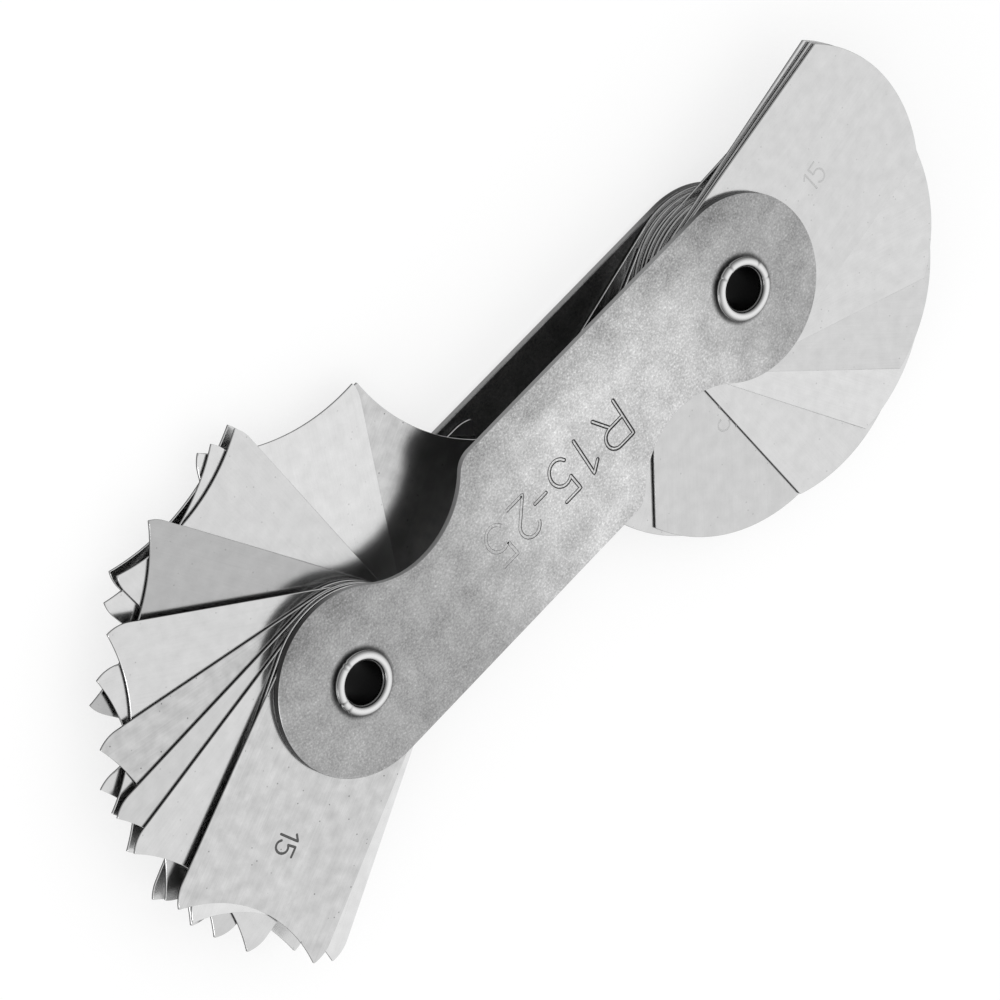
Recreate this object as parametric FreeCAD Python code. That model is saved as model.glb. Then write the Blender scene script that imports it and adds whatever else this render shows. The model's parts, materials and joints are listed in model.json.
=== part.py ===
import FreeCAD, Part
import math
import os

# Radius gauge for 15 to 25 mm: two fans of thin steel leaves between two cover plates.
# The concave leaves turn about one hollow rivet and the convex leaves about the other.
# Millimetres. The origin is on the concave leaves' pivot, halfway through the stack,
# +X runs to the convex leaves' pivot and +Z comes out of the front cover.

# Covers
pivot_spacing = 55.8        # between the two rivet axes
cover_width = 19.0          # across the straight sides and the round ends
cover_thickness = 0.8
notch_radius = 9.7          # finger notch beside each pivot
notch_floor = 4.7           # from the centre line to the bottom of the notch
notch_corner_radius = 2.6   # where the notch meets the straight side
cover_edge_bevel = 0.15     # broken edge round the outside face

# Leaves, as (profile radius, rest angle in degrees from +X), from front to back
concave_fan = [
    (15.0, 205.5), (15.5, 210.5), (16.0, 190.0), (16.5, 181.8),
    (17.0, 167.5), (17.5, 144.9), (18.0, 154.1), (18.5, 176.9),
    (19.0, 122.4), (19.5, 97.0), (20.0, 102.6), (21.0, 68.1),
    (22.0, 29.1), (23.0, 96.7), (24.0, 207.0), (25.0, 357.8),
]
convex_fan = [
    (15.0, 10.1), (15.5, 11.0), (16.0, 12.3), (16.5, 340.6),
    (17.0, 318.8), (17.5, 302.6), (18.0, 280.0), (18.5, 238.0),
    (19.0, 213.9), (19.5, 2.0), (20.0, 352.0), (21.0, 330.0),
    (22.0, 310.0), (23.0, 292.0), (24.0, 208.5), (25.0, 194.7),
]
leaf_thickness = 0.30
leaf_root_radius = 9.4      # round end about the pivot
concave_reach = 26.5        # pivot to the tips of a concave leaf
concave_end_width = 18.9
fine_tip_setback = 0.8      # from the straight side in to each tip, on leaves up to coarse_from
coarse_tip_setback = 0.45   # the same on larger leaves, whose flatter arcs cut less off the tips
coarse_from = 18.5          # smallest profile radius of the larger leaves
tip_corner_radius = 3.8     # rounded corner that each tip is ground into
convex_reach = 23.3         # pivot to the corners of a convex leaf
convex_end_width = 18.6

# Hollow rivets, clenched over each cover in a raised ring
bore_radius = 2.15
rivet_wall = 0.5
lip_radius = 3.25           # ring on the front cover
lip_height = 0.75
head_radius = 3.3           # ring on the rear cover, which the gauge lies on
head_height = 0.75
ring_bevel = 0.3            # 45 degree shoulders of both rings

# Clearances
leaf_gap = 0.05             # between neighbouring leaves, and to the covers
leaf_hole_clearance = 0.06  # leaf on rivet, radial
cover_hole_clearance = 0.02 # cover on rivet, radial

# Derived sizes
cover_half_width = cover_width / 2
barrel_radius = bore_radius + rivet_wall
leaf_pitch = leaf_thickness + leaf_gap
stack_height = len(concave_fan) * leaf_pitch + leaf_gap
inner_face = stack_height / 2
outer_face = inner_face + cover_thickness


def point(x, y):
    return FreeCAD.Vector(x, y, 0)


def on_circle(centre, radius, degrees):
    angle = math.radians(degrees)
    return centre + radius * FreeCAD.Vector(math.cos(angle), math.sin(angle), 0)


def arc(centre, radius, start_degrees, end_degrees):
    stops = (start_degrees, (start_degrees + end_degrees) / 2, end_degrees)
    return Part.Arc(*[on_circle(centre, radius, stop) for stop in stops]).toShape()


def line(start, end):
    return Part.LineSegment(start, end).toShape()


def plate(edges, bottom, thickness):
    face = Part.Face(Part.Wire(edges))
    face.translate(FreeCAD.Vector(0, 0, bottom))
    return face.extrude(FreeCAD.Vector(0, 0, thickness))


def drill(solid, x, radius):
    height = 2 * outer_face
    tool = Part.makeCylinder(radius, height, FreeCAD.Vector(x, 0, -outer_face))
    return solid.cut(tool)


# Covers

def cover_half_outline():
    """From the lower end of the left round end, over the notch, to the right round end."""
    pivot = point(0, 0)
    centre_y = notch_floor + notch_radius
    centre_x = math.sqrt((cover_half_width + notch_radius) ** 2 - centre_y ** 2)
    notch = point(centre_x, centre_y)
    meeting = math.degrees(math.atan2(centre_y, centre_x))
    corner_y = cover_half_width - notch_corner_radius
    reach = notch_radius + notch_corner_radius
    corner_x = centre_x + math.sqrt(reach ** 2 - (centre_y - corner_y) ** 2)
    corner = point(corner_x, corner_y)
    leaving = math.degrees(math.atan2(corner_y - centre_y, corner_x - centre_x))
    return [
        arc(pivot, cover_half_width, 270, meeting),
        arc(notch, notch_radius, meeting - 180, leaving),
        arc(corner, notch_corner_radius, leaving + 180, 90),
        line(point(corner_x, cover_half_width), point(pivot_spacing, cover_half_width)),
    ]


def cover(bottom, outside):
    half = cover_half_outline()
    middle = FreeCAD.Vector(pivot_spacing / 2, 0, 0)
    other = [edge.rotated(middle, FreeCAD.Vector(0, 0, 1), 180) for edge in half]
    solid = plate(half + other, bottom, cover_thickness)
    rim = [edge for edge in solid.Edges if all(abs(v.Z - outside) < 1e-6 for v in edge.Vertexes)]
    solid = solid.makeChamfer(cover_edge_bevel, rim)
    for x in (0, pivot_spacing):
        solid = drill(solid, x, barrel_radius + cover_hole_clearance)
    return solid


# Leaves

def root_and_sides(corner):
    """Both straight sides, from one end corner round the root to the other."""
    pivot = point(0, 0)
    turn = math.degrees(math.atan2(corner.y, corner.x) + math.acos(leaf_root_radius / corner.Length))
    upper = on_circle(pivot, leaf_root_radius, turn)
    lower = on_circle(pivot, leaf_root_radius, -turn)
    return [
        line(corner, upper),
        arc(pivot, leaf_root_radius, turn, 360 - turn),
        line(lower, point(corner.x, -corner.y)),
    ]


def concave_outline(radius):
    half_end = concave_end_width / 2
    setback = coarse_tip_setback if radius >= coarse_from else fine_tip_setback
    half_chord = half_end - setback
    corner_y = half_end - tip_corner_radius
    rounding = math.degrees(math.asin((half_chord - corner_y) / tip_corner_radius))
    corner_x = concave_reach - tip_corner_radius * math.cos(math.radians(rounding))
    side_end = point(corner_x, half_end)
    centre = point(concave_reach + math.sqrt(radius ** 2 - half_chord ** 2), 0)
    spread = math.degrees(math.asin(half_chord / radius))
    return [
        arc(point(corner_x, corner_y), tip_corner_radius, rounding, 90),
        *root_and_sides(side_end),
        arc(point(corner_x, -corner_y), tip_corner_radius, -90, -rounding),
        arc(centre, radius, 180 + spread, 180 - spread),
    ]


def convex_outline(radius):
    half_end = convex_end_width / 2
    corner = point(convex_reach, half_end)
    centre = point(convex_reach - math.sqrt(radius ** 2 - half_end ** 2), 0)
    spread = math.degrees(math.asin(half_end / radius))
    return [*root_and_sides(corner), arc(centre, radius, -spread, spread)]


def leaf(outline, place, rest_angle, pivot_x):
    """The leaf in the given place of the stack, counted from the front."""
    bottom = inner_face - (place + 1) * leaf_pitch
    solid = plate(outline, bottom, leaf_thickness)
    solid = drill(solid, 0, barrel_radius + leaf_hole_clearance)
    solid.rotate(FreeCAD.Vector(0, 0, 0), FreeCAD.Vector(0, 0, 1), rest_angle)
    solid.translate(FreeCAD.Vector(pivot_x, 0, 0))
    return solid


# Rivets

def rivet(x):
    """A tube through the whole stack, with a ring outside each cover."""
    lip_top = outer_face + lip_height
    head_top = outer_face + head_height
    section = [
        (bore_radius, lip_top - ring_bevel),
        (bore_radius + ring_bevel, lip_top),
        (lip_radius - ring_bevel, lip_top),
        (lip_radius, lip_top - ring_bevel),
        (lip_radius, outer_face),
        (barrel_radius, outer_face),
        (barrel_radius, -outer_face),
        (head_radius, -outer_face),
        (head_radius, ring_bevel - head_top),
        (head_radius - ring_bevel, -head_top),
        (bore_radius + ring_bevel, -head_top),
        (bore_radius, ring_bevel - head_top),
    ]
    corners = [FreeCAD.Vector(x + r, 0, z) for r, z in section]
    face = Part.Face(Part.makePolygon(corners + corners[:1]))
    return face.revolve(FreeCAD.Vector(x, 0, 0), FreeCAD.Vector(0, 0, 1), 360)


def leaf_name(kind, radius):
    return f"{kind}_leaf_r{radius:.1f}".replace(".", "_")


# Assembly

parts = {
    "front_cover": cover(inner_face, outer_face),
    "rear_cover": cover(-outer_face, -outer_face),
    "concave_rivet": rivet(0),
    "convex_rivet": rivet(pivot_spacing),
}
for place, (radius, rest_angle) in enumerate(concave_fan):
    parts[leaf_name("concave", radius)] = leaf(concave_outline(radius), place, rest_angle, 0)
for place, (radius, rest_angle) in enumerate(convex_fan):
    parts[leaf_name("convex", radius)] = leaf(convex_outline(radius), place, rest_angle, pivot_spacing)

os.makedirs("parts", exist_ok=True)
for name, shape in parts.items():
    shape.exportStep(f"parts/{name}.step")
    print(name, len(shape.Solids), shape.isValid(), round(shape.Volume, 2))
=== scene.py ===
import json
import math
import random

import bmesh
import bpy
from mathutils import Matrix, Vector

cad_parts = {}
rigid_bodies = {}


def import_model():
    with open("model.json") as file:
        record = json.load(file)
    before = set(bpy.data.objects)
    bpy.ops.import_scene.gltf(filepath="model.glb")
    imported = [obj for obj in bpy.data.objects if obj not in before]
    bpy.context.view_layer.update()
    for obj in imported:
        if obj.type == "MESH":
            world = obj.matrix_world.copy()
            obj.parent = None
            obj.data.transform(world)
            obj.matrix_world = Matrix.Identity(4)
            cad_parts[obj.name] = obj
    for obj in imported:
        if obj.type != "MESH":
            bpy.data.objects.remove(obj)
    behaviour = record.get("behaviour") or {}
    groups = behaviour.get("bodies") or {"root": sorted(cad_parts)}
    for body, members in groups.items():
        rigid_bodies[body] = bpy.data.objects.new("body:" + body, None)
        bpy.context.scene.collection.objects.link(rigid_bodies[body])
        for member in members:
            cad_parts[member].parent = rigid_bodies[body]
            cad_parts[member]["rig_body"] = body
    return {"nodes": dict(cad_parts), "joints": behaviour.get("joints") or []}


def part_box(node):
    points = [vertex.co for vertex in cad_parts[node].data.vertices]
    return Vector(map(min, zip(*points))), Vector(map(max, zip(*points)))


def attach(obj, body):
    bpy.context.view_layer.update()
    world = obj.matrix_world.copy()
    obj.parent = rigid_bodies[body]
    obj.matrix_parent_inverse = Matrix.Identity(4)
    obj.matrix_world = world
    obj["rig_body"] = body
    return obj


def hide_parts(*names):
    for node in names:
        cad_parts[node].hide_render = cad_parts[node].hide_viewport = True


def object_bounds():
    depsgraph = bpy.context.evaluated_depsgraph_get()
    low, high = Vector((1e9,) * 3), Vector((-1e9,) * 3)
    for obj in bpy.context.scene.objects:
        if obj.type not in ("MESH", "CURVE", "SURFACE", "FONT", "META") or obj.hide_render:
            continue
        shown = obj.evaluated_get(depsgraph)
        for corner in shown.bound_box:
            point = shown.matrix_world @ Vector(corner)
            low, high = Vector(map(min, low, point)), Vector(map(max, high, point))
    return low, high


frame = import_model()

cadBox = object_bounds()
scene = bpy.context.scene
scene.view_settings.view_transform = "Standard"
mm = 0.001
pivots = {joint["child"]: joint["pos_m"] for joint in frame["joints"]}
spacing = max(place[0] for place in pivots.values()) / mm
print("frame loaded:", len(frame["nodes"]), "nodes")


# Node helpers

def linearColor(hexText):
    # sRGB hex to the linear colour that the shaders take
    channels = [int(hexText[i:i + 2], 16) / 255 for i in (1, 3, 5)]
    return [c / 12.92 if c <= 0.04045 else ((c + 0.055) / 1.055) ** 2.4 for c in channels] + [1.0]


def addNode(tree, kind, settings=None, inputs=None):
    # an input is a plain value, the output socket that feeds it, or a list of sockets that are joined there
    node = tree.nodes.new(kind)
    for name, value in (settings or {}).items():
        setattr(node, name, value)
    for socket, value in (inputs or {}).items():
        sources = value if isinstance(value, list) else [value]
        if isinstance(sources[0], bpy.types.NodeSocket):
            for source in sources:
                tree.links.new(source, node.inputs[socket])
        else:
            node.inputs[socket].default_value = value
    return node


def newMaterial(name):
    material = bpy.data.materials.new(name)
    material.use_nodes = True
    material.node_tree.nodes.clear()
    return material, material.node_tree


def finishMaterial(tree, shader):
    addNode(tree, "ShaderNodeOutputMaterial", inputs={"Surface": shader.outputs[0]})


def newGeometryTree(name, sockets):
    # sockets are (name, kind) pairs after the geometry itself
    tree = bpy.data.node_groups.new(name, "GeometryNodeTree")
    tree.interface.new_socket("Geometry", in_out="INPUT", socket_type="NodeSocketGeometry")
    tree.interface.new_socket("Geometry", in_out="OUTPUT", socket_type="NodeSocketGeometry")
    for socketName, kind in sockets:
        tree.interface.new_socket(socketName, in_out="INPUT", socket_type="NodeSocket" + kind)
    return tree, tree.nodes.new("NodeGroupInput"), tree.nodes.new("NodeGroupOutput")


def calculate(tree, values, steps):
    # each step is (result, operation, first, second), by name or as a plain number
    for result, operation, first, second in steps:
        node = addNode(tree, "ShaderNodeMath", {"operation": operation}, {
            0: values.get(first, first), 1: values.get(second, second)})
        values[result] = node.outputs[0]


def setTones(ramp, tones):
    # tones are places along the ramp with their sRGB hex values, from low to high
    for tone in tones[1:-1]:
        ramp.elements.new(tone[0])
    for stop, (place, hexText) in zip(ramp.elements, tones):
        stop.position = place
        stop.color = linearColor(hexText)


def ownPlace(tree):
    # where a point lies on its piece, as a vector and as x, y and z
    place = addNode(tree, "ShaderNodeTexCoord").outputs["Object"]
    spot = addNode(tree, "ShaderNodeSeparateXYZ", inputs={"Vector": place})
    return place, {axis.lower(): spot.outputs[axis] for axis in "XYZ"}


def useGeometryTree(target, tree, inputs):
    # inputs are set by the sockets' identifiers before the object is first evaluated
    modifier = target.modifiers.new(tree.name, "NODES")
    modifier.node_group = tree
    for item in tree.interface.items_tree:
        if item.item_type == "SOCKET" and item.name in inputs:
            modifier[item.identifier] = inputs[item.name]


def addObject(name, data):
    made = bpy.data.objects.new(name, data)
    scene.collection.objects.link(made)
    return made


def bakedMesh(source):
    # the evaluated object as a plain mesh, and the object is gone
    depsgraph = bpy.context.evaluated_depsgraph_get()
    mesh = bpy.data.meshes.new_from_object(source.evaluated_get(depsgraph))
    bpy.data.objects.remove(source)
    return mesh


# Materials

smoothly = {"interpolation_type": "SMOOTHSTEP"}
noiseDetail = 3
gritDepth = 0.02                 # of the bumps that tumbling, stamping and etching leave, in mm

coverFinish = {
    "plainTone": "#A6A6A6",
    "highlightTone": "#CECECE",
    "highlightMiddle": 36.0,        # along the cover in mm, where the painted highlight is brightest
    "highlightFrom": 6.0,           # from there the painted highlight falls off
    "highlightTo": 26.0,
    "edgeFrom": 4.0,             # towards the upper long edge the plate is darker
    "edgeTo": 9.5,
    "edgeDark": 0.30,
    "mottleMm": 0.21,
    "mottleDetail": 4,
    "mottleRoughness": 0.68,
    "mottle": 1.4,
    "mottleBump": 0.25,
    "blotchMm": 2.6,
    "blotch": 0.7,
    "oilFrom": 3.3,              # old oil and a painted shade round each rivet, as distances from its axis
    "oilTo": 3.85,
    "oilDark": 0.8,
    "speck": 0.22,               # the brightest grains of the mottle, from and to these values of it
    "speckFrom": 0.58,
    "speckTo": 0.70,
    "wall": "#8C8C8C",
    "shadedEndWall": "#3C3C3C",        # the walls of the round ends are painted darker, a painted shade
    "endFrom": -2.0,             # along the cover in mm, inwards from each pivot
    "endTo": 5.0,
    "wallRoughness": 0.5,
    "roughness": 0.38,
}
rivetFinish = {
    # tones by height over the cover, as shares of the ring's height: painted highlights on the crown and low on the
    # flank, with a painted dark reflection between them
    "lightByHeight": [(0.0, "#E4E4E4"), (0.55, "#DADADA"), (0.70, "#545454"), (0.88, "#9C9C9C"), (1.0, "#E6E6E6")],
    "coverFace": 3.625,          # outer faces of the covers and the rings' height, in mm
    "ringHeight": 0.75,
    "oilFrom": 2.16,             # darker towards the bore, as distances from the axis
    "oilTo": 2.50,
    "oilLeft": 0.10,
    "gritMm": 0.45,
    "grit": 0.30,
    "roughness": 0.26,
}
leafFinish = {
    "grainMm": 0.13,
    "grainStretch": 0.02,        # the lines of the grinding run along the leaf, so the pattern is drawn out there
    "grain": 0.08,
    "grainBump": 0.06,
    "grainDepth": 0.01,
    "cloudMm": 1.4,
    "cloud": 0.22,
    "pitMm": 1.1,
    "pit": 0.26,
    "pitFrom": 0.04,             # a pit's dark middle and its rim, as shares of the pits' spacing
    "pitTo": 0.09,
    "stockMm": 90,               # each leaf is cut from another place of a strip this wide and long
    "roughness": 0.2,
    "zoneFrom": 0.11,            # height on the sheared edge where it turns from dark to smooth
    "zoneTo": 0.15,
}
plainFinish = {
    "gritMm": 0.3,
    "grit": 0.15,
}


def finishSteel(material, color, roughness, bumps=None):
    # bare metal in the given colour, with bumps as (strength, depth in mm, height)
    tree = material.node_tree
    shader = addNode(tree, "ShaderNodeBsdfPrincipled", inputs={
        "Base Color": color, "Metallic": 1.0, "Roughness": roughness})
    if bumps:
        strength, depth, height = bumps
        bump = addNode(tree, "ShaderNodeBump", inputs={"Strength": strength, "Distance": depth * mm, "Height": height})
        tree.links.new(bump.outputs["Normal"], shader.inputs["Normal"])
    finishMaterial(tree, shader)
    return material


def rivetDistance(tree, values):
    # distance from the nearer rivet's axis, from the place's own x and y
    calculate(tree, values, [
        ("past", "SUBTRACT", "x", spacing * mm),
        ("xSquare", "POWER", "x", 2.0),
        ("pastSize", "ABSOLUTE", "past", 0.0),
        ("pastSquare", "POWER", "pastSize", 2.0),
        ("nearer", "MINIMUM", "xSquare", "pastSquare"),
        ("ySquare", "MULTIPLY", "y", "y"),
        ("distanceSquare", "ADD", "nearer", "ySquare"),
        ("fromRivet", "SQRT", "distanceSquare", 0.0),
    ])


def tumbledSteel(name, plainTone, highlightTone):
    # mild steel tumbled with stones: a fine mottle, with a painted highlight that is bright in the middle and leaves
    # the ends darker
    material, tree = newMaterial(name)
    place, values = ownPlace(tree)
    mottle = addNode(tree, "ShaderNodeTexNoise", inputs={
        "Vector": place, "Scale": 1 / (coverFinish["mottleMm"] * mm), "Detail": coverFinish["mottleDetail"],
        "Roughness": coverFinish["mottleRoughness"]})
    blotch = addNode(tree, "ShaderNodeTexNoise", inputs={
        "Vector": place, "Scale": 1 / (coverFinish["blotchMm"] * mm), "Detail": noiseDetail})
    edge = addNode(tree, "ShaderNodeMapRange", smoothly, {
        "Value": values["y"], "From Min": coverFinish["edgeFrom"] * mm, "From Max": coverFinish["edgeTo"] * mm,
        "To Min": 0.0, "To Max": coverFinish["edgeDark"]})
    rivetDistance(tree, values)
    # old oil and painted shade: darker close round each rivet
    oil = addNode(tree, "ShaderNodeMapRange", smoothly, {
        "Value": values["fromRivet"], "From Min": coverFinish["oilFrom"] * mm, "From Max": coverFinish["oilTo"] * mm,
        "To Min": 1 - coverFinish["oilDark"], "To Max": 1.0})
    speck = addNode(tree, "ShaderNodeMapRange", inputs={
        "Value": mottle.outputs["Fac"], "From Min": coverFinish["speckFrom"], "From Max": coverFinish["speckTo"],
        "To Max": coverFinish["speck"]})
    values.update(mottle=mottle.outputs["Fac"], blotch=blotch.outputs["Fac"], edge=edge.outputs[0],
                  oil=oil.outputs[0], speck=speck.outputs[0])
    calculate(tree, values, [
        ("fromMiddle", "SUBTRACT", "x", coverFinish["highlightMiddle"] * mm),
        ("away", "ABSOLUTE", "fromMiddle", 0.0),
        ("fineSwing", "SUBTRACT", "mottle", 0.5),
        ("fine", "MULTIPLY", "fineSwing", coverFinish["mottle"]),
        ("wideSwing", "SUBTRACT", "blotch", 0.5),
        ("wide", "MULTIPLY", "wideSwing", coverFinish["blotch"]),
        ("swing", "ADD", "fine", "wide"),
        ("plain", "ADD", "swing", 1.0),
        ("specked", "ADD", "plain", "speck"),
        ("shaded", "SUBTRACT", "specked", "edge"),
        ("factor", "MULTIPLY", "shaded", "oil"),
    ])
    # painted highlight: brightest at the middle of the cover, falling off towards the ends
    highlightShare = addNode(tree, "ShaderNodeMapRange", smoothly, {
        "Value": values["away"], "From Min": coverFinish["highlightFrom"] * mm, "From Max": coverFinish["highlightTo"] * mm,
        "To Min": 1.0, "To Max": 0.0})
    tone = addNode(tree, "ShaderNodeValToRGB", inputs={"Fac": highlightShare.outputs[0]})
    setTones(tone.color_ramp, [(0.0, plainTone), (1.0, highlightTone)])
    speckled = addNode(tree, "ShaderNodeVectorMath", {"operation": "SCALE"}, {
        0: tone.outputs["Color"], "Scale": values["factor"]})
    return finishSteel(material, speckled.outputs[0], coverFinish["roughness"],
                       (coverFinish["mottleBump"], gritDepth, mottle.outputs["Fac"]))


def groundSpringSteel():
    # thin hardened strip, ground along its length: bright satin with faint lines and a few pits
    material, tree = newMaterial("ground spring steel")
    place = addNode(tree, "ShaderNodeAttribute", {"attribute_name": "leafPlace"}).outputs["Vector"]
    grind = addNode(tree, "ShaderNodeAttribute", {"attribute_name": "grindAndTiltTone"}).outputs["Fac"]
    handled = addNode(tree, "ShaderNodeAttribute", {"attribute_name": "handledShare"}).outputs["Fac"]
    stretched = addNode(tree, "ShaderNodeMapping", inputs={
        "Vector": place, "Scale": (leafFinish["grainStretch"], 1.0, 1.0)})
    lines = addNode(tree, "ShaderNodeTexNoise", inputs={
        "Vector": stretched.outputs[0], "Scale": 1 / leafFinish["grainMm"], "Detail": 2})
    cloud = addNode(tree, "ShaderNodeTexNoise", inputs={
        "Vector": place, "Scale": 1 / leafFinish["cloudMm"], "Detail": noiseDetail})
    pits = addNode(tree, "ShaderNodeTexVoronoi", {"feature": "F1"}, {"Vector": place, "Scale": 1 / leafFinish["pitMm"]})
    pitMask = addNode(tree, "ShaderNodeMapRange", inputs={
        "Value": pits.outputs["Distance"], "From Min": leafFinish["pitFrom"], "From Max": leafFinish["pitTo"],
        "To Min": leafFinish["pit"], "To Max": 0.0})
    values = {"lines": lines.outputs["Fac"], "cloud": cloud.outputs["Fac"], "pit": pitMask.outputs[0], "grind": grind,
              "handled": handled}
    calculate(tree, values, [
        ("lineSwing", "SUBTRACT", "lines", 0.5),
        ("line", "MULTIPLY", "lineSwing", leafFinish["grain"]),
        ("cloudSwing", "SUBTRACT", "cloud", 0.5),
        ("clouds", "MULTIPLY", "cloudSwing", leafFinish["cloud"]),
        ("swing", "ADD", "line", "clouds"),
        ("marks", "SUBTRACT", "swing", "pit"),
        ("stronger", "MULTIPLY", "marks", "handled"),
        ("pitted", "ADD", "stronger", 1.0),
        ("tone", "MULTIPLY", "pitted", "grind"),
    ])
    grey = addNode(tree, "ShaderNodeCombineColor", inputs={0: values["tone"], 1: values["tone"], 2: values["tone"]})
    return finishSteel(material, grey.outputs[0], leafFinish["roughness"],
                       (leafFinish["grainBump"], leafFinish["grainDepth"], lines.outputs["Fac"]))


def shornSteel(name, burnished, brokenAndShaded, roughness):
    # a sheared edge has two zones through the thickness: cut smooth above and broken off below, and the lower zone is
    # dark both as a broken zone and as painted shade of the gaps between leaves
    material, tree = newMaterial(name)
    place = addNode(tree, "ShaderNodeAttribute", {"attribute_name": "leafPlace"}).outputs["Vector"]
    through = addNode(tree, "ShaderNodeSeparateXYZ", inputs={"Vector": place})
    zone = addNode(tree, "ShaderNodeMapRange", inputs={
        "Value": through.outputs["Z"], "From Min": leafFinish["zoneFrom"], "From Max": leafFinish["zoneTo"]})
    tone = addNode(tree, "ShaderNodeValToRGB", inputs={"Fac": zone.outputs[0]})
    setTones(tone.color_ramp, [(0.0, brokenAndShaded), (1.0, burnished)])
    return finishSteel(material, tone.outputs["Color"], roughness)


def blankedSteel(name):
    # the covers' outer walls, shorn through and then tumbled: painted darker round both ends, a painted shade
    material, tree = newMaterial(name)
    values = ownPlace(tree)[1]
    calculate(tree, values, [
        ("fromOther", "SUBTRACT", spacing * mm, "x"),
        ("inwards", "MINIMUM", "x", "fromOther"),
    ])
    # painted shade: the walls darken towards both round ends
    share = addNode(tree, "ShaderNodeMapRange", smoothly, {
        "Value": values["inwards"], "From Min": coverFinish["endFrom"] * mm, "From Max": coverFinish["endTo"] * mm})
    tone = addNode(tree, "ShaderNodeValToRGB", inputs={"Fac": share.outputs[0]})
    setTones(tone.color_ramp, [(0.0, coverFinish["shadedEndWall"]), (1.0, coverFinish["wall"])])
    return finishSteel(material, tone.outputs["Color"], coverFinish["wallRoughness"])


def plainSteel(name, hexText, roughness):
    # one tone with a little grit, for the small faces that no hand or stone has reached
    material, tree = newMaterial(name)
    place = addNode(tree, "ShaderNodeTexCoord").outputs["Object"]
    noise = addNode(tree, "ShaderNodeTexNoise", inputs={
        "Vector": place, "Scale": 1 / (plainFinish["gritMm"] * mm), "Detail": noiseDetail})
    return finishSteel(material, linearColor(hexText), roughness,
                       (plainFinish["grit"], gritDepth, noise.outputs["Fac"]))


def rolledSteel(name):
    # the rivets' rolled ends: a painted highlight along the crown, painted darker beside it, and darker towards the
    # bore
    material, tree = newMaterial(name)
    place, values = ownPlace(tree)
    rivetDistance(tree, values)
    calculate(tree, values, [("up", "ABSOLUTE", "z", 0.0)])
    face = rivetFinish["coverFace"]
    # painted highlights and a painted dark reflection, by height on the rolled end
    share = addNode(tree, "ShaderNodeMapRange", inputs={
        "Value": values["up"], "From Min": face * mm, "From Max": (face + rivetFinish["ringHeight"]) * mm})
    tone = addNode(tree, "ShaderNodeValToRGB", inputs={"Fac": share.outputs[0]})
    setTones(tone.color_ramp, rivetFinish["lightByHeight"])
    # darker towards the bore
    oil = addNode(tree, "ShaderNodeMapRange", smoothly, {
        "Value": values["fromRivet"], "From Min": rivetFinish["oilFrom"] * mm, "From Max": rivetFinish["oilTo"] * mm,
        "To Min": rivetFinish["oilLeft"], "To Max": 1.0})
    oiled = addNode(tree, "ShaderNodeVectorMath", {"operation": "SCALE"}, {
        0: tone.outputs["Color"], "Scale": oil.outputs[0]})
    noise = addNode(tree, "ShaderNodeTexNoise", inputs={
        "Vector": place, "Scale": 1 / (rivetFinish["gritMm"] * mm), "Detail": noiseDetail})
    return finishSteel(material, oiled.outputs[0], rivetFinish["roughness"],
                       (rivetFinish["grit"], gritDepth, noise.outputs["Fac"]))


coverSteel = tumbledSteel("tumbled steel", coverFinish["plainTone"], coverFinish["highlightTone"])
shadedInnerSteel = tumbledSteel("oiled steel inside", "#707070", "#888888")     # the covers' inner faces, painted darker for the shade between the plates
coverWall = blankedSteel("blanked cover edge")
leafSteel = groundSpringSteel()
shearedEdge = shornSteel("sheared leaf edge", "#A0A0A0", "#2A2A2A", 0.5)  # duller than the ground faces
shadedStampWall = plainSteel("stamped groove wall", "#3A3A3A", 0.5)             # sloping walls of the pressed marking, painted dark for the shade in the grooves
etchedNumber = plainSteel("etched number", "#6A6A6A", 0.6)                # bitten matt by the etch
wornNumber = plainSteel("etched number, worn", "#C4C4C4", 0.4)            # rubbed until it hardly shows
rivetSteel = rolledSteel("nickel plated rivet")
oiledBore = plainSteel("oiled bore", "#161616", 0.5)                      # nearly black inside the tube
print("materials made")


# Marking

glyphs = {
    # strokes in glyph units, 1 high: a list of points, or an arc as (centre x, centre y, x radius, y radius, from, to)
    "0": (0.56, [(0.28, 0.5, 0.27, 0.5, 90, 450)]),
    "1": (0.30, [[(0.0, 0.80), (0.25, 1.0), (0.25, 0.0)]]),
    "2": (0.58, [(0.28, 0.72, 0.27, 0.28, 165, -32), [(0.51, 0.57), (0.02, 0.0), (0.57, 0.0)]]),
    "3": (0.54, [(0.25, 0.75, 0.24, 0.25, 160, -90), (0.25, 0.26, 0.27, 0.26, 90, -160)]),
    "4": (0.60, [[(0.42, 0.0), (0.42, 1.0), (0.0, 0.3), (0.58, 0.3)]]),
    "5": (0.56, [[(0.52, 1.0), (0.05, 1.0), (0.09, 0.60)], (0.27, 0.33, 0.29, 0.33, 128, -150)]),
    "6": (0.56, [(0.28, 0.3, 0.27, 0.3, 0, 360), [(0.02, 0.34), (0.12, 0.66), (0.40, 1.0)]]),
    "7": (0.54, [[(0.0, 1.0), (0.52, 1.0), (0.17, 0.0)]]),
    "8": (0.54, [(0.26, 0.76, 0.22, 0.24, 0, 360), (0.26, 0.26, 0.26, 0.26, 0, 360)]),
    "9": (0.56, [(0.28, 0.7, 0.27, 0.3, 0, 360), [(0.54, 0.66), (0.44, 0.34), (0.16, 0.0)]]),
    ".": (0.12, [[(0.04, 0.0), (0.08, 0.0)]]),
    "-": (0.40, [[(0.0, 0.42), (0.36, 0.42)]]),
    "R": (0.70, [[(0.43, 1.0), (0.0, 1.0), (0.0, 0.0)], (0.43, 0.73, 0.27, 0.27, 90, -90),
                 [(0.43, 0.46), (0.0, 0.46)], [(0.42, 0.46), (0.70, 0.0)]]),
}


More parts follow.
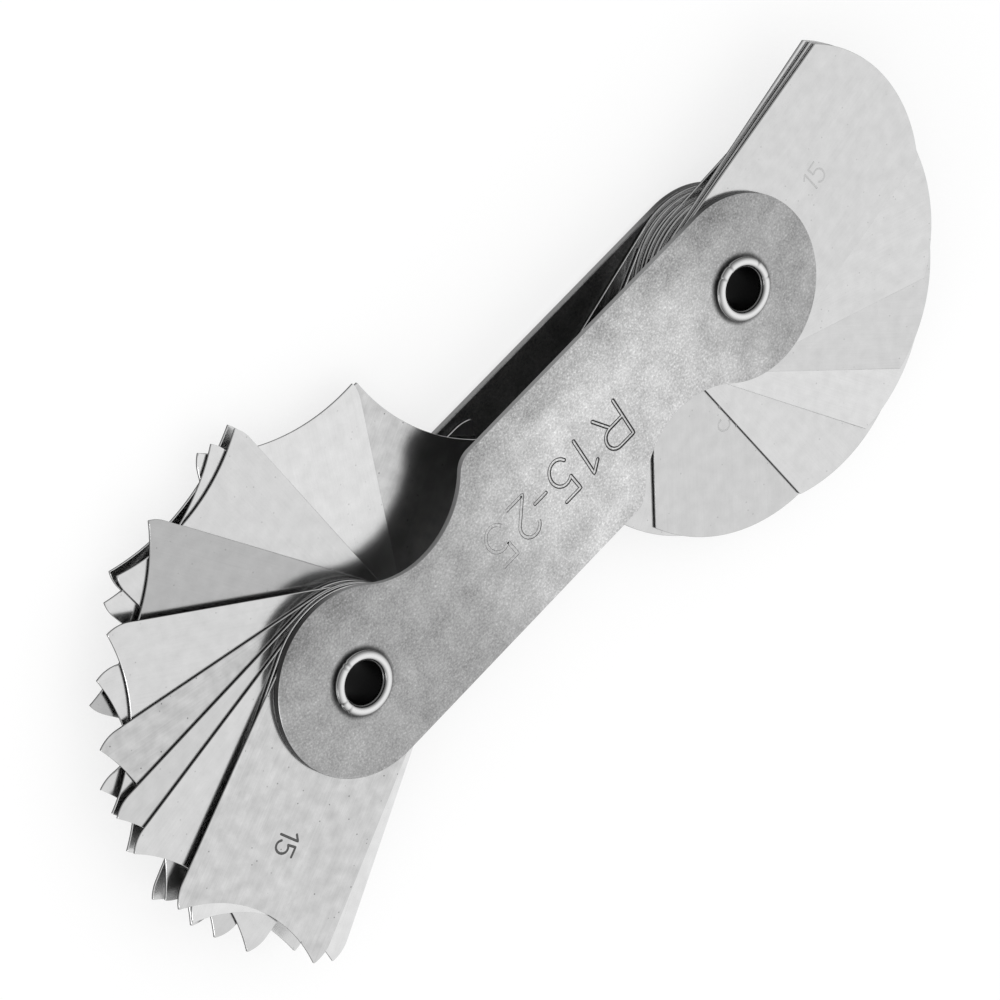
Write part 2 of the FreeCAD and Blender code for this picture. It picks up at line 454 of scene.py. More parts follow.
strokePlan = {
    "cornerReach": 0.03,         # how near a corner its two extra points lie, in glyph units
    "cornerShare": 0.4,          # and at most this share of the way to the next point
    "arcStep": 15,               # degrees
    "fewestSteps": 6,
}
cutterPlan = {
    "endSides": 16,
    "endDrop": 0.003,            # mm that a round end goes deeper than its stroke, so that no two faces coincide
    "floorBelow": -0.99,         # a face whose normal points down this far is a floor and no wall
}


def strokePoints(stroke):
    if isinstance(stroke, list):
        # a point close to each corner on both sides keeps the swept stroke at its full width
        points = [stroke[0]]
        for before, here, after in zip(stroke, stroke[1:], stroke[2:]):
            for other in (before, after):
                share = min(strokePlan["cornerShare"], strokePlan["cornerReach"] / math.dist(here, other))
                near = (here[0] + (other[0] - here[0]) * share, here[1] + (other[1] - here[1]) * share)
                points += [near, here] if other == before else [near]
        return points + [stroke[-1]]
    x, y, rx, ry, start, end = stroke
    steps = max(strokePlan["fewestSteps"], round(abs(end - start) / strokePlan["arcStep"]))
    angles = [math.radians(start + (end - start) * i / steps) for i in range(steps + 1)]
    return [(x + rx * math.cos(a), y + ry * math.sin(a)) for a in angles]


def textStrokes(text, height, gap):
    # polylines in mm, reading along +X from x = 0, with the letters' feet on y = 0
    strokes = []
    cursor = 0.0
    for letter in text:
        width, parts = glyphs[letter]
        strokes += [[(cursor + x * height, y * height) for x, y in strokePoints(part)] for part in parts]
        cursor += width * height + gap
    return strokes, cursor - gap


def engravingTree():
    # sweeps a tapered cutter along every stroke, with round ends
    tree, given, result = newGeometryTree("engraving", [
        ("Stroke Width", "Float"), ("Floor Width", "Float"), ("Depth", "Float"), ("Headroom", "Float"),
        ("Round Ends", "Bool"), ("Wall", "Material"), ("Floor", "Material")])
    values = {name: given.outputs[name] for name in ("Stroke Width", "Floor Width", "Depth", "Headroom")}
    calculate(tree, values, [
        ("taper", "SUBTRACT", "Stroke Width", "Floor Width"),
        ("height", "ADD", "Depth", "Headroom"),
        ("slope", "DIVIDE", "taper", "Depth"),
        ("rise", "MULTIPLY", "slope", "Headroom"),
        ("topWidth", "ADD", "Stroke Width", "rise"),
        ("topRadius", "MULTIPLY", "topWidth", 0.5),
        ("floorRadius", "MULTIPLY", "Floor Width", 0.5),
        ("halfHeight", "MULTIPLY", "height", 0.5),
        ("middle", "SUBTRACT", "Headroom", "halfHeight"),
        ("lower", "ADD", "Depth", cutterPlan["endDrop"]),
        ("bottom", "SUBTRACT", 0.0, "lower"),
    ])
    section = addNode(tree, "GeometryNodeCurvePrimitiveQuadrilateral", {"mode": "TRAPEZOID"}, {
        "Bottom Width": values["topWidth"], "Top Width": values["Floor Width"], "Height": values["height"],
        "Offset": 0.0})                                                     # the sweep turns its section over
    upright = addNode(tree, "GeometryNodeSetCurveNormal", {"mode": "Z_UP"}, {"Curve": given.outputs["Geometry"]})
    swept = addNode(tree, "GeometryNodeCurveToMesh", inputs={
        "Curve": upright.outputs[0], "Profile Curve": section.outputs[0], "Fill Caps": True})
    lift = addNode(tree, "ShaderNodeCombineXYZ", inputs={"Z": values["middle"]})
    raised = addNode(tree, "GeometryNodeTransform", inputs={
        "Geometry": swept.outputs[0], "Translation": lift.outputs[0]})
    cone = addNode(tree, "GeometryNodeMeshCone", inputs={
        "Vertices": cutterPlan["endSides"], "Side Segments": 1, "Radius Top": values["topRadius"],
        "Radius Bottom": values["floorRadius"], "Depth": values["height"]})
    drop = addNode(tree, "ShaderNodeCombineXYZ", inputs={"Z": values["bottom"]})
    seated = addNode(tree, "GeometryNodeTransform", inputs={
        "Geometry": cone.outputs["Mesh"], "Translation": drop.outputs[0]})
    ends = addNode(tree, "GeometryNodeCurveEndpointSelection", inputs={"Start Size": 1, "End Size": 1})
    chosen = addNode(tree, "FunctionNodeBooleanMath", {"operation": "AND"}, {
        0: ends.outputs[0], 1: given.outputs["Round Ends"]})
    rounded = addNode(tree, "GeometryNodeInstanceOnPoints", inputs={
        "Points": given.outputs["Geometry"], "Selection": chosen.outputs[0], "Instance": seated.outputs[0]})
    joined = addNode(tree, "GeometryNodeJoinGeometry", inputs={0: [raised.outputs[0], rounded.outputs[0]]})
    real = addNode(tree, "GeometryNodeRealizeInstances", inputs={"Geometry": joined.outputs[0]})
    walls = addNode(tree, "GeometryNodeSetMaterial", inputs={
        "Geometry": real.outputs[0], "Material": given.outputs["Wall"]})
    facing = addNode(tree, "GeometryNodeInputNormal")
    parts = addNode(tree, "ShaderNodeSeparateXYZ", inputs={"Vector": facing.outputs[0]})
    isFloor = addNode(tree, "FunctionNodeCompare", {"operation": "LESS_THAN"}, {
        0: parts.outputs["Z"], 1: cutterPlan["floorBelow"]})
    floors = addNode(tree, "GeometryNodeSetMaterial", inputs={
        "Geometry": walls.outputs[0], "Selection": isFloor.outputs[0], "Material": given.outputs["Floor"]})
    tree.links.new(floors.outputs[0], result.inputs[0])
    return tree


engraving = engravingTree()


def addSpline(curve, spots, closed):
    spline = curve.splines.new("POLY")
    spline.points.add(len(spots) - 1)
    for point, spot in zip(spline.points, spots):
        point.co = (*spot, 1)
    spline.use_cyclic_u = closed


def strokeCutter(name, strokes, place, surface, sizes, wall, floor):
    # place is a 2D turn and shift in mm, surface the height that the marking is cut into
    curve = bpy.data.curves.new(name, "CURVE")
    curve.dimensions = "3D"
    for stroke in strokes:
        turned = [place @ Vector((x, y, 0)) for x, y in stroke]
        addSpline(curve, [(spot.x, spot.y, surface) for spot in turned], False)
    carrier = addObject(name, curve)
    useGeometryTree(carrier, engraving, {**sizes, "Wall": wall, "Floor": floor})
    return addObject(name, bakedMesh(carrier))


# Shared mesh work

sheetPlan = {
    "sharpAngle": 40,            # rounds and walls are smooth up to this turn in degrees
    "levelFrom": 0.9995,         # a face whose normal is this upright is one of the big flat ones
}


def shadeSheet(mesh):
    # big flat faces stay flat, whatever is cut into them
    mesh.shade_smooth()
    mesh.set_sharp_from_angle(angle=math.radians(sheetPlan["sharpAngle"]))
    for face in mesh.polygons:
        if abs(face.normal.z) > sheetPlan["levelFrom"]:
            face.use_smooth = False


def cutAway(target, cutter):
    modifier = target.modifiers.new("marking", "BOOLEAN")
    modifier.operation = "DIFFERENCE"
    modifier.solver = "EXACT"
    modifier.use_self = True
    modifier.material_mode = "TRANSFER"
    modifier.object = cutter


def seatPiece(mesh, name, node):
    piece = addObject(name, mesh)
    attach(piece, frame["nodes"][node]["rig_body"])
    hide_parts(node)
    return piece


# Leaves

leafPlan = {
    "thickness": 0.30,
    "rootRadius": 9.4,
    "rootSpread": 0.6,           # the blanks' roots are ground by hand, so some stop short
    "holeRadius": 2.71,
    "edgeBevel": 0.03,
    "bevelFrom": 50,             # edges that turn more than this in degrees carry the bevel
    "weld": 0.002,
    "steps": {"tip": 9, "root": 73, "profile": 65, "hole": 64},
    "coarseFrom": 18.5,          # from this profile radius up the tips stand wider
    "coarseSetback": 0.45,
    "concave": {"Reach": 26.5, "End Width": 18.9, "Tip Setback": 0.8, "Tip Corner Radius": 3.8, "Bulge": -1.0},
    "convex": {"Reach": 23.3, "End Width": 18.6, "Tip Setback": 0.0, "Tip Corner Radius": 0.0, "Bulge": 1.0},
}
leafTones = {
    # how bright each leaf comes out, from its grinding and partly as painted light for its slight tilt, as the sRGB
    # grey it shows; the others take the plain one
    "plain": 0.83,
    "concave_leaf_r15_0": 0.80,
    "concave_leaf_r15_5": 0.88,
    "concave_leaf_r16_5": 0.80,
    "concave_leaf_r17_0": 0.77,
    "concave_leaf_r19_0": 0.71,
    "concave_leaf_r20_0": 0.85,
    "concave_leaf_r21_0": 0.87,
    "concave_leaf_r22_0": 0.79,
    "convex_leaf_r16_5": 0.84,
    "convex_leaf_r17_0": 0.82,
    "convex_leaf_r17_5": 0.86,
    "convex_leaf_r18_0": 0.84,
    "convex_leaf_r18_5": 0.805,
}
leafWear = {
    # how much stronger than plain the stains and lines of a leaf are, on those that are used most
    "plain": 1.0,
    "concave_leaf_r15_0": 2.4,
    "concave_leaf_r17_0": 2.6,
    "concave_leaf_r22_0": 2.6,
}
numberPlan = {
    "height": 2.2,
    "rightEdge": 17.95,          # along the leaf, from its pivot
    "convexRightEdge": 15.0,
    "gap": 0.38,
    "alongPlay": (-0.15, 0.1),   # how far from its place and how crooked a number may come out
    "acrossPlay": (-0.15, 0.15),
    "tiltPlay": (-1.5, 1.5),
    "dark": ["concave_leaf_r15_0"],
    "underneath": ["concave_leaf_r19_0", "concave_leaf_r19_5", "concave_leaf_r21_0", "concave_leaf_r22_0"],
    "sizes": {"Stroke Width": 0.26, "Floor Width": 0.16, "Depth": 0.06, "Headroom": 0.05, "Round Ends": True},
    "wornSizes": {"Stroke Width": 0.20, "Floor Width": 0.14, "Depth": 0.025, "Headroom": 0.05, "Round Ends": False},
}


def leafBlankTree():
    tree, given, result = newGeometryTree("leaf blank", [
        ("Profile Radius", "Float"), ("Bulge", "Float"), ("Reach", "Float"), ("End Width", "Float"),
        ("Tip Setback", "Float"), ("Tip Corner Radius", "Float"), ("Root Radius", "Float"),
        ("Hole Radius", "Float"), ("Thickness", "Float"), ("Face", "Material"), ("Edge", "Material")])
    values = {socket.name: socket for socket in given.outputs if socket.name}
    calculate(tree, values, [
        ("halfEnd", "MULTIPLY", "End Width", 0.5),
        ("halfChord", "SUBTRACT", "halfEnd", "Tip Setback"),
        ("cornerY", "SUBTRACT", "halfEnd", "Tip Corner Radius"),
        ("tipRise", "SUBTRACT", "halfChord", "cornerY"),
        ("tipSine", "DIVIDE", "tipRise", "Tip Corner Radius"),
        ("tipAngle", "ARCSINE", "tipSine", 0.0),
        ("tipCosine", "COSINE", "tipAngle", 0.0),
        ("tipDepth", "MULTIPLY", "tipCosine", "Tip Corner Radius"),
        ("cornerX", "SUBTRACT", "Reach", "tipDepth"),
        ("tipSweep", "SUBTRACT", math.pi / 2, "tipAngle"),
        ("sideDistance", "POWER", "cornerX", 2.0),
        ("sideHeight", "POWER", "halfEnd", 2.0),
        ("sideSquare", "ADD", "sideDistance", "sideHeight"),
        ("sideLength", "SQRT", "sideSquare", 0.0),
        ("rootShare", "DIVIDE", "Root Radius", "sideLength"),
        ("rootOpen", "ARCCOSINE", "rootShare", 0.0),
        ("sideAngle", "ARCTAN2", "halfEnd", "cornerX"),
        ("rootTurn", "ADD", "sideAngle", "rootOpen"),
        ("rootHalfSweep", "SUBTRACT", math.pi, "rootTurn"),
        ("rootSweep", "MULTIPLY", "rootHalfSweep", 2.0),
        ("rootCosine", "COSINE", "rootTurn", 0.0),
        ("rootSine", "SINE", "rootTurn", 0.0),
        ("rootX", "MULTIPLY", "rootCosine", "Root Radius"),
        ("rootY", "MULTIPLY", "rootSine", "Root Radius"),
        ("radiusSquare", "POWER", "Profile Radius", 2.0),
        ("chordSquare", "POWER", "halfChord", 2.0),
        ("stepSquare", "SUBTRACT", "radiusSquare", "chordSquare"),
        ("step", "SQRT", "stepSquare", 0.0),
        ("signedStep", "MULTIPLY", "step", "Bulge"),
        ("profileX", "SUBTRACT", "Reach", "signedStep"),
        ("spreadSine", "DIVIDE", "halfChord", "Profile Radius"),
        ("spread", "ARCSINE", "spreadSine", 0.0),
        ("profileSweep", "MULTIPLY", "spread", 2.0),
        ("facingBack", "MULTIPLY", "Bulge", -math.pi / 2),
        ("profileTurn", "ADD", "facingBack", math.pi / 2),
        ("profileStart", "SUBTRACT", "profileTurn", "spread"),
    ])

    def arcPiece(part, radius, start, sweep, x, y):
        arc = addNode(tree, "GeometryNodeCurveArc", {"mode": "RADIUS"}, {
            "Resolution": leafPlan["steps"][part], "Radius": values[radius], "Start Angle": values[start],
            "Sweep Angle": values[sweep]})
        centre = addNode(tree, "ShaderNodeCombineXYZ", inputs={"X": values.get(x, x), "Y": values.get(y, y)})
        return addNode(tree, "GeometryNodeTransform", inputs={
            "Geometry": arc.outputs[0], "Translation": centre.outputs[0]}).outputs[0]

    sideStart = addNode(tree, "ShaderNodeCombineXYZ", inputs={"X": values["cornerX"], "Y": values["halfEnd"]})
    sideEnd = addNode(tree, "ShaderNodeCombineXYZ", inputs={"X": values["rootX"], "Y": values["rootY"]})
    side = addNode(tree, "GeometryNodeCurvePrimitiveLine", inputs={
        "Start": sideStart.outputs[0], "End": sideEnd.outputs[0]})
    tip = arcPiece("tip", "Tip Corner Radius", "tipAngle", "tipSweep", "cornerX", "cornerY")
    root = arcPiece("root", "Root Radius", "rootTurn", "rootSweep", 0.0, 0.0)
    profile = arcPiece("profile", "Profile Radius", "profileStart", "profileSweep", "profileX", 0.0)
    half = addNode(tree, "GeometryNodeJoinGeometry", inputs={0: [side.outputs[0], tip]})
    mirrored = addNode(tree, "GeometryNodeTransform", inputs={"Geometry": half.outputs[0], "Scale": (1, -1, 1)})
    outline = addNode(tree, "GeometryNodeJoinGeometry", inputs={
        0: [half.outputs[0], mirrored.outputs[0], root, profile]})
    wire = addNode(tree, "GeometryNodeCurveToMesh", inputs={"Curve": outline.outputs[0]})
    closed = addNode(tree, "GeometryNodeMergeByDistance", inputs={
        "Geometry": wire.outputs[0], "Distance": leafPlan["weld"]})
    loop = addNode(tree, "GeometryNodeMeshToCurve", inputs={"Mesh": closed.outputs[0]})
    hole = addNode(tree, "GeometryNodeCurvePrimitiveCircle", {"mode": "RADIUS"}, {
        "Resolution": leafPlan["steps"]["hole"], "Radius": values["Hole Radius"]})
    border = addNode(tree, "GeometryNodeJoinGeometry", inputs={0: [loop.outputs[0], hole.outputs[0]]})
    sheet = addNode(tree, "GeometryNodeFillCurve", {"mode": "NGONS"}, {"Curve": border.outputs[0]})
    grown = addNode(tree, "GeometryNodeExtrudeMesh", {"mode": "FACES"}, {
        "Mesh": sheet.outputs[0], "Offset": (0, 0, 1), "Offset Scale": values["Thickness"], "Individual": False})
    under = addNode(tree, "GeometryNodeFlipFaces", inputs={"Mesh": sheet.outputs[0]})
    solid = addNode(tree, "GeometryNodeJoinGeometry", inputs={0: [grown.outputs["Mesh"], under.outputs[0]]})
    welded = addNode(tree, "GeometryNodeMergeByDistance", inputs={
        "Geometry": solid.outputs[0], "Distance": leafPlan["weld"]})
    real = addNode(tree, "GeometryNodeRealizeInstances", inputs={"Geometry": welded.outputs[0]})
    faced = addNode(tree, "GeometryNodeSetMaterial", inputs={
        "Geometry": real.outputs[0], "Material": given.outputs["Face"]})
    edged = addNode(tree, "GeometryNodeSetMaterial", inputs={
        "Geometry": faced.outputs[0], "Selection": grown.outputs["Side"], "Material": given.outputs["Edge"]})
    tree.links.new(edged.outputs[0], result.inputs[0])
    return tree


leafBlank = leafBlankTree()


def markGrain(mesh, offset, tone, handled):
    # the leaf's own place in mm, its brightness and how marked it is, which its steel is drawn from
    spots = [vertex.co + offset for vertex in mesh.vertices]
    # brightness from grinding and partly painted light for the leaf's tilt
    brightness = ((tone + 0.055) / 1.055) ** 2.4
    mesh.attributes.new("leafPlace", "FLOAT_VECTOR", "POINT")
    mesh.attributes.new("grindAndTiltTone", "FLOAT", "POINT")
    mesh.attributes.new("handledShare", "FLOAT", "POINT")
    mesh.attributes["leafPlace"].data.foreach_set("vector", [value for spot in spots for value in spot])
    mesh.attributes["grindAndTiltTone"].data.foreach_set("value", [brightness] * len(spots))
    mesh.attributes["handledShare"].data.foreach_set("value", [handled] * len(spots))


def restTurn(node, pivot):
    # the way a leaf points: its own area centre, seen from its pivot
    mesh = frame["nodes"][node].data
    total = sum((face.area * (face.center - pivot) for face in mesh.polygons), Vector())
    return math.atan2(total.y, total.x)


def makeLeaf(node, seed):
    kind, size = node.split("_leaf_r")
    radius = float(size.replace("_", "."))
    chance = random.Random(seed)
    shape = dict(leafPlan[kind])
    if kind == "concave" and radius >= leafPlan["coarseFrom"]:
        shape["Tip Setback"] = leafPlan["coarseSetback"]
    carrier = addObject(node, bpy.data.meshes.new(node))
    useGeometryTree(carrier, leafBlank, {
        **shape,
        "Profile Radius": radius,
        "Root Radius": leafPlan["rootRadius"] - leafPlan["rootSpread"] * chance.random(),
        "Hole Radius": leafPlan["holeRadius"],
        "Thickness": leafPlan["thickness"],
        "Face": leafSteel,
        "Edge": shearedEdge,
    })
    bevel = carrier.modifiers.new("burr", "BEVEL")
    bevel.width = leafPlan["edgeBevel"]
    bevel.segments = 1
    bevel.limit_method = "ANGLE"
    bevel.angle_limit = math.radians(leafPlan["bevelFrom"])
    strokes, length = textStrokes(f"{radius:g}", numberPlan["height"], numberPlan["gap"])
    rightEdge = numberPlan["rightEdge"] if kind == "concave" else numberPlan["convexRightEdge"]
    shift = Vector((rightEdge - length + chance.uniform(*numberPlan["alongPlay"]),
                    -numberPlan["height"] / 2 + chance.uniform(*numberPlan["acrossPlay"]), 0))
    tilt = math.radians(chance.uniform(*numberPlan["tiltPlay"]))
    place = Matrix.Translation(shift) @ Matrix.Rotation(tilt, 4, "Z")
    dark = node in numberPlan["dark"]
    sizes = numberPlan["sizes"] if dark else numberPlan["wornSizes"]
    ink = etchedNumber if dark else wornNumber
    cutter = strokeCutter(node + "_number", strokes, place, leafPlan["thickness"], sizes, ink, ink)
    if node in numberPlan["underneath"]:
        over = Matrix.Rotation(math.pi, 4, "X")
        cutter.data.transform(Matrix.Translation((0, 0, leafPlan["thickness"])) @ over)
    cutAway(carrier, cutter)
    mesh = bakedMesh(carrier)
    bpy.data.objects.remove(cutter)
    stock = leafFinish["stockMm"]
    offset = Vector((chance.uniform(0, stock), chance.uniform(0, stock), 0))
    markGrain(mesh, offset, leafTones.get(node, leafTones["plain"]), leafWear.get(node, leafWear["plain"]))
    pivot = Vector(pivots[node])
    turn = Matrix.Rotation(restTurn(node, pivot), 4, "Z")
    mesh.transform(Matrix.Translation((pivot.x, pivot.y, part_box(node)[0].z)) @ turn @ Matrix.Scale(mm, 4))
    shadeSheet(mesh)
    return seatPiece(mesh, node + "_dressed", node)


leafNodes = sorted(name for name in frame["nodes"] if "_leaf_" in name)
leafPieces = [makeLeaf(node, seed) for seed, node in enumerate(leafNodes)]
print("leaves made:", len(leafPieces))


# Covers

coverPlan = {
    "width": 19.0,
    "thickness": 0.8,
    "notchRadius": 9.7,
    "notchFloor": 4.7,
    "notchCornerRadius": 2.6,
    "edgeRound": 0.15,
    "edgeSteps": 3,
    "holeRadius": 2.67,
    "rimStep": 3.0,              # degrees between two points of the rim, and of a hole
    "holeStep": 5.0,
    "weld": 0.0005,
    "steepBelow": 0.35,          # a face whose normal is less upright than this is a wall
}
rangePlan = {
    # each letter with its start in mm and how deep the stamp went in, which fades along the text
    "letters": [("R", 0.0, 1.0), ("1", 4.74, 0.9), ("5", 7.65, 0.8), ("-", 11.21, 0.65), ("2", 13.26, 0.45),
                ("5", 16.92, 0.25)],
    "height": 4.35,
    "start": (37.72, 1.70),      # the text reads towards the concave pivot
    "width": 0.34,
    "widthGain": 0.12,           # a deep letter is also a little wider
    "wall": 0.15,
    "depth": 0.055,
    "headroom": 0.02,
    "roundFrom": 0.5,            # a stamp that went in less than this leaves no round ends
}


def arcPoints(x, y, radius, start, end, stepDegrees):
    steps = max(2, math.ceil(abs(end - start) / stepDegrees))
    angles = [math.radians(start + (end - start) * i / steps) for i in range(steps)]
    return [(x + radius * math.cos(a), y + radius * math.sin(a)) for a in angles]


def coverOutline():
    # half the rim from the lower end of the left round end to the right one, then the same turned half round
    halfWidth = coverPlan["width"] / 2
    notchY = coverPlan["notchFloor"] + coverPlan["notchRadius"]
    notchX = math.sqrt((halfWidth + coverPlan["notchRadius"]) ** 2 - notchY ** 2)
    meeting = math.degrees(math.atan2(notchY, notchX))
    cornerY = halfWidth - coverPlan["notchCornerRadius"]
    reach = coverPlan["notchRadius"] + coverPlan["notchCornerRadius"]
    cornerX = notchX + math.sqrt(reach ** 2 - (notchY - cornerY) ** 2)
    leaving = math.degrees(math.atan2(cornerY - notchY, cornerX - notchX))
    step = coverPlan["rimStep"]
    half = arcPoints(0, 0, halfWidth, -90, meeting - 360, step)
    half += arcPoints(notchX, notchY, coverPlan["notchRadius"], meeting - 180, leaving, step)
    half += arcPoints(cornerX, cornerY, coverPlan["notchCornerRadius"], leaving + 180, 90, step)
    half += [(cornerX, halfWidth)]
    return half + [(spacing - x, -y) for x, y in half]


def coverMesh(name):
    curve = bpy.data.curves.new(name, "CURVE")
    curve.dimensions = "2D"
    curve.fill_mode = "BOTH"
    curve.extrude = coverPlan["thickness"] / 2 - coverPlan["edgeRound"]
    curve.bevel_depth = coverPlan["edgeRound"]
    curve.bevel_resolution = coverPlan["edgeSteps"]
    curve.offset = -coverPlan["edgeRound"]
    rims = [coverOutline()]
    rims += [arcPoints(x, 0, coverPlan["holeRadius"], 0, 360, coverPlan["holeStep"]) for x in (0, spacing)]
    for rim in rims:
        addSpline(curve, [(x, y, 0) for x, y in rim], True)
    mesh = bakedMesh(addObject(name, curve))
    work = bmesh.new()
    work.from_mesh(mesh)
    bmesh.ops.remove_doubles(work, verts=work.verts, dist=coverPlan["weld"])
    bmesh.ops.recalc_face_normals(work, faces=work.faces)
    work.to_mesh(mesh)
    work.free()
    return mesh


def makeCover(node, outward):
    mesh = coverMesh(node)
    for material in (coverSteel, coverWall, shadedInnerSteel):
        mesh.materials.append(material)
    limit = coverPlan["steepBelow"]
    for face in mesh.polygons:
        steep = abs(face.normal.z) < limit
        inside = face.normal.z * outward < -limit
        face.material_index = 1 if steep else 2 if inside else 0
    if outward > 0:
        carrier = addObject(node, mesh)
        startX, startY = rangePlan["start"]
        cutters = []
        for letter, start, strength in rangePlan["letters"]:
            strokes = textStrokes(letter, rangePlan["height"], 0.0)[0]
            place = Matrix.Translation((startX - start, startY, 0)) @ Matrix.Rotation(math.pi, 4, "Z")
            width = rangePlan["width"] + rangePlan["widthGain"] * strength
            cutter = strokeCutter(node + "_marking", strokes, place, coverPlan["thickness"] / 2, {
                "Stroke Width": width,
                "Floor Width": width - 2 * rangePlan["wall"] * strength,
                "Depth": rangePlan["depth"] * strength,
                "Headroom": rangePlan["headroom"],
                "Round Ends": strength > rangePlan["roundFrom"],
            }, shadedStampWall, coverSteel)
            cutAway(carrier, cutter)
            cutters.append(cutter)
        mesh = bakedMesh(carrier)
        for cutter in cutters:
            bpy.data.objects.remove(cutter)
    low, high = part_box(node)
    mesh.transform(Matrix.Translation((0, 0, (low.z + high.z) / 2)) @ Matrix.Scale(mm, 4))
    shadeSheet(mesh)
    return seatPiece(mesh, node + "_dressed", node)


makeCover("front_cover", 1)
makeCover("rear_cover", -1)
print("covers made")


# Rivets

rivetPlan = {
    "boreRadius": 2.15,
    "barrelRadius": 2.65,
    "lip": {"crown": 2.72, "outer": 3.24, "height": 0.75},
    "head": {"crown": 2.74, "outer": 3.28, "height": 0.75},
    "innerRidge": [(0.0, 0.08), (0.01, 0.24), (0.05, 0.36), (0.10, 0.40), (0.15, 0.37)],    # out from the bore, up
    "innerTurn": (12, 7.5),      # points and degrees between them, up to the crown and over it
    "outerTurn": (14, 10),
    "relief": 0.1,               # the barrel is a little thicker where it enters a cover
    "around": 144,
    "sharpAngle": 50,
    # where the front lip split as it was rolled, each with its place and width in degrees and its depth
    "splits": {
        "concave_rivet": [(96, 2.5, 0.16), (106, 2.0, 0.12), (177, 2.5, 0.18), (196, 2.5, 0.16)],
        "convex_rivet": [(20, 2.5, 0.14), (342, 2.0, 0.12), (91, 2.5, 0.16), (118, 2.5, 0.16)],
    },
    "splitSink": 0.6,            # how far a split sinks for each mm that it goes in
}


def ringPoints(ring, rising):
    # the rolled end in section as (radius, height): a low ridge in the bore, then over the crown and under again
    bore = rivetPlan["boreRadius"]
    points = [(bore + out, up) for out, up in rivetPlan["innerRidge"]]
    inner = ring["crown"] - points[-1][0]
    outer = ring["outer"] - ring["crown"]
    middle = ring["height"] / 2
    for start, width, (steps, step) in ((180, inner, rivetPlan["innerTurn"]), (90, outer, rivetPlan["outerTurn"])):
        for i in range(1, steps + 1):
            a = math.radians(start - step * i)
            points.append((ring["crown"] + width * math.cos(a), middle + middle * math.sin(a)))
    return [(r, z * rising) for r, z in points]


def makeRivet(node):
    low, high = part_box(node)
    pivotX = (low.x + high.x) / 2 / mm
    frontFace = high.z / mm - rivetPlan["lip"]["height"]
    rearFace = low.z / mm + rivetPlan["head"]["height"]
    lip = [(r, frontFace + z) for r, z in ringPoints(rivetPlan["lip"], 1)]
    head = [(r, rearFace + z) for r, z in ringPoints(rivetPlan["head"], -1)]
    barrel = rivetPlan["barrelRadius"]
    relief = rivetPlan["relief"]
    section = lip + [(barrel + relief, frontFace), (barrel, frontFace - relief), (barrel, rearFace + relief),
                     (barrel + relief, rearFace)] + head[::-1]
    work = bmesh.new()
    rings = []
    around = rivetPlan["around"]
    for step in range(around):
        angle = 2 * math.pi * step / around
        ring = []
        for index, (r, z) in enumerate(section):
            if index < len(lip):
                away = index / len(lip)
                for where, width, depth in rivetPlan["splits"][node]:
                    turn = (math.degrees(angle) - where + 180) % 360 - 180
                    dent = math.exp(-(turn / width) ** 2)
                    r -= depth * away * dent
                    z -= depth * rivetPlan["splitSink"] * away * dent
            spot = Vector((pivotX + r * math.cos(angle), r * math.sin(angle), z)) * mm
            ring.append(work.verts.new(spot))
        rings.append(ring)
    count = len(section)
    for step in range(around):
        here, after = rings[step], rings[(step + 1) % around]
        for i in range(count):
            j = (i + 1) % count
            face = work.faces.new((here[i], after[i], after[j], here[j]))
            face.material_index = 1 if i == count - 1 else 0                # the bore's wall closes the section
    bmesh.ops.recalc_face_normals(work, faces=work.faces)
    mesh = bpy.data.meshes.new(node)
    work.to_mesh(mesh)
    work.free()
    mesh.materials.append(rivetSteel)
    mesh.materials.append(oiledBore)
    mesh.shade_smooth()
    mesh.set_sharp_from_angle(angle=math.radians(rivetPlan["sharpAngle"]))
    return seatPiece(mesh, node + "_dressed", node)


makeRivet("concave_rivet")
makeRivet("convex_rivet")
print("rivets made")


# Stage

stagePlan = {
    "floorSize": 4.0,
    "floorTone": "#FFFFFF",
    "floorRoughness": 0.8,
    "shadowShare": 0.30,         # how much of the floor's own light and shadow the camera sees
    "seenWhite": 1.0,            # the white that the camera and the metal see
    "skyLight": 1.0,             # what the world sheds on the floor
}
lampPlan = {
    "place": (-0.95, 0.10, 0.30),
    "target": (0.03, 0, 0),
    "size": 0.45,
    "watts": 2,
}


def directShare(tree):
    # 1 where something is looked at, straight, in the metal or through glass, and 0 for the light that falls on it
    seen = addNode(tree, "ShaderNodeLightPath")
    values = {name: seen.outputs[name] for name in ("Is Camera Ray", "Is Glossy Ray", "Is Transmission Ray")}
    calculate(tree, values, [
        ("seenOrMirrored", "MAXIMUM", "Is Camera Ray", "Is Glossy Ray"),
        ("direct", "MAXIMUM", "seenOrMirrored", "Is Transmission Ray"),
    ])
    return values["direct"]


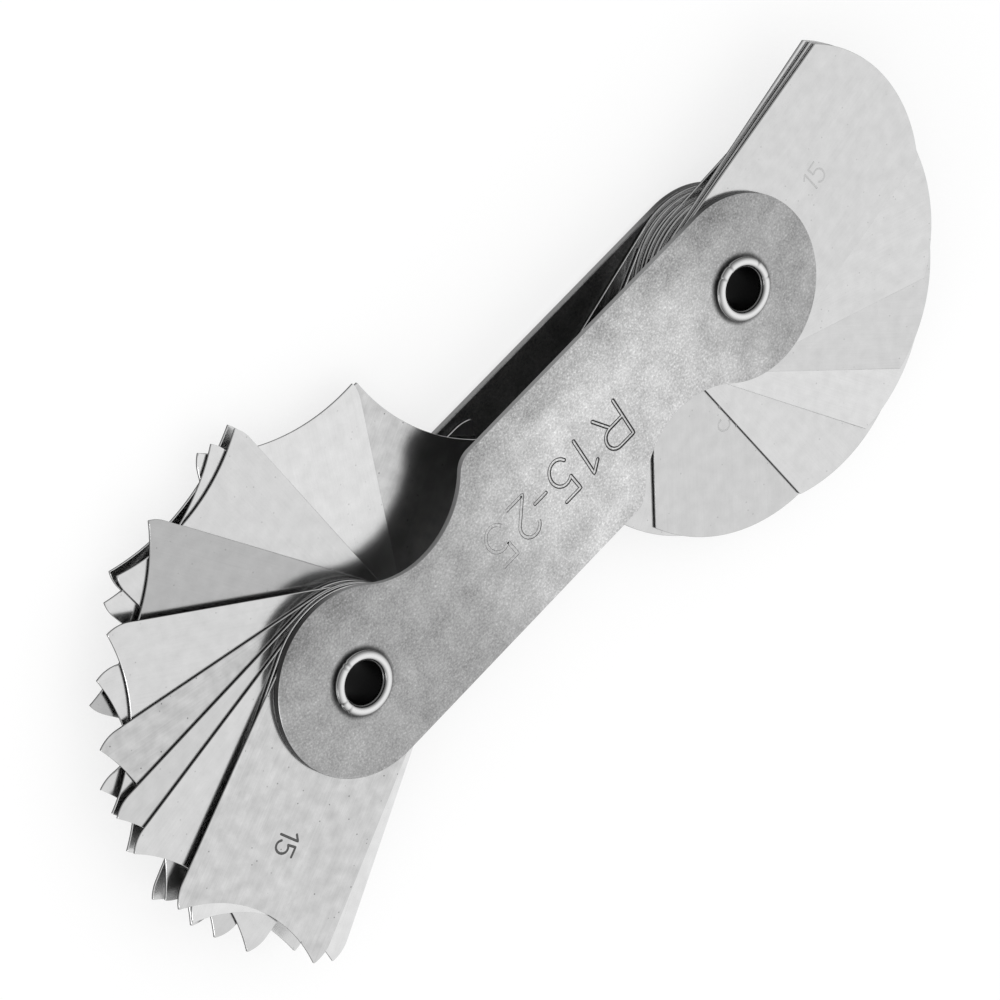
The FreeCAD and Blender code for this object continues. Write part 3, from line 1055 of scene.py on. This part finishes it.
def paleFloor(height):
    half = stagePlan["floorSize"] / 2
    mesh = bpy.data.meshes.new("floor")
    mesh.from_pydata([(-half, -half, height), (half, -half, height), (half, half, height), (-half, half, height)],
                     [], [(0, 1, 2, 3)])
    floor = addObject("floor", mesh)
    material, tree = newMaterial("pale floor")
    lit = addNode(tree, "ShaderNodeBsdfPrincipled", inputs={
        "Base Color": linearColor(stagePlan["floorTone"]), "Roughness": stagePlan["floorRoughness"]})
    white = addNode(tree, "ShaderNodeEmission", inputs={"Color": (1, 1, 1, 1), "Strength": stagePlan["seenWhite"]})
    share = addNode(tree, "ShaderNodeMath", {"operation": "MULTIPLY"}, {
        0: directShare(tree), 1: 1 - stagePlan["shadowShare"]})
    shader = addNode(tree, "ShaderNodeMixShader", inputs={0: share.outputs[0], 1: lit.outputs[0], 2: white.outputs[0]})
    finishMaterial(tree, shader)
    mesh.materials.append(material)


def studioWorld():
    world = bpy.data.worlds.new("studio")
    world.use_nodes = True
    tree = world.node_tree
    tree.nodes.clear()
    white = addNode(tree, "ShaderNodeBackground", inputs={"Color": (1, 1, 1, 1), "Strength": stagePlan["seenWhite"]})
    soft = addNode(tree, "ShaderNodeBackground", inputs={"Color": (1, 1, 1, 1), "Strength": stagePlan["skyLight"]})
    mix = addNode(tree, "ShaderNodeMixShader", inputs={0: directShare(tree), 1: soft.outputs[0], 2: white.outputs[0]})
    addNode(tree, "ShaderNodeOutputWorld", inputs={"Surface": mix.outputs[0]})
    scene.world = world


def sideLamp():
    lamp = bpy.data.lights.new("low side lamp", "AREA")
    lamp.shape = "DISK"
    lamp.size = lampPlan["size"]
    lamp.energy = lampPlan["watts"]
    lampObject = addObject("low side lamp", lamp)
    lampObject.location = lampPlan["place"]
    towards = Vector(lampPlan["target"]) - Vector(lampPlan["place"])
    lampObject.rotation_euler = towards.to_track_quat("-Z", "Y").to_euler()


cameraPlan = {
    "position": (-0.1489, 0.2901, 0.43077),
    "up": (0.6824, 0.7033, -0.1992),
    "back": (-0.3154, 0.5292, 0.7877),
    "lensMm": 203.4,
    "sensorMm": 36,
    "clipStart": 0.01,
}


def photoCamera():
    camera = bpy.data.cameras.new("camera")
    camera.sensor_width = cameraPlan["sensorMm"]
    camera.lens = cameraPlan["lensMm"]
    camera.clip_start = cameraPlan["clipStart"]
    cameraObject = addObject("camera", camera)
    back = Vector(cameraPlan["back"]).normalized()
    right = Vector(cameraPlan["up"]).cross(back).normalized()
    up = back.cross(right)
    turn = Matrix((right, up, back)).transposed().to_4x4()
    cameraObject.matrix_world = Matrix.Translation(cameraPlan["position"]) @ turn
    scene.camera = cameraObject


paleFloor(cadBox[0][2])
studioWorld()
sideLamp()
photoCamera()
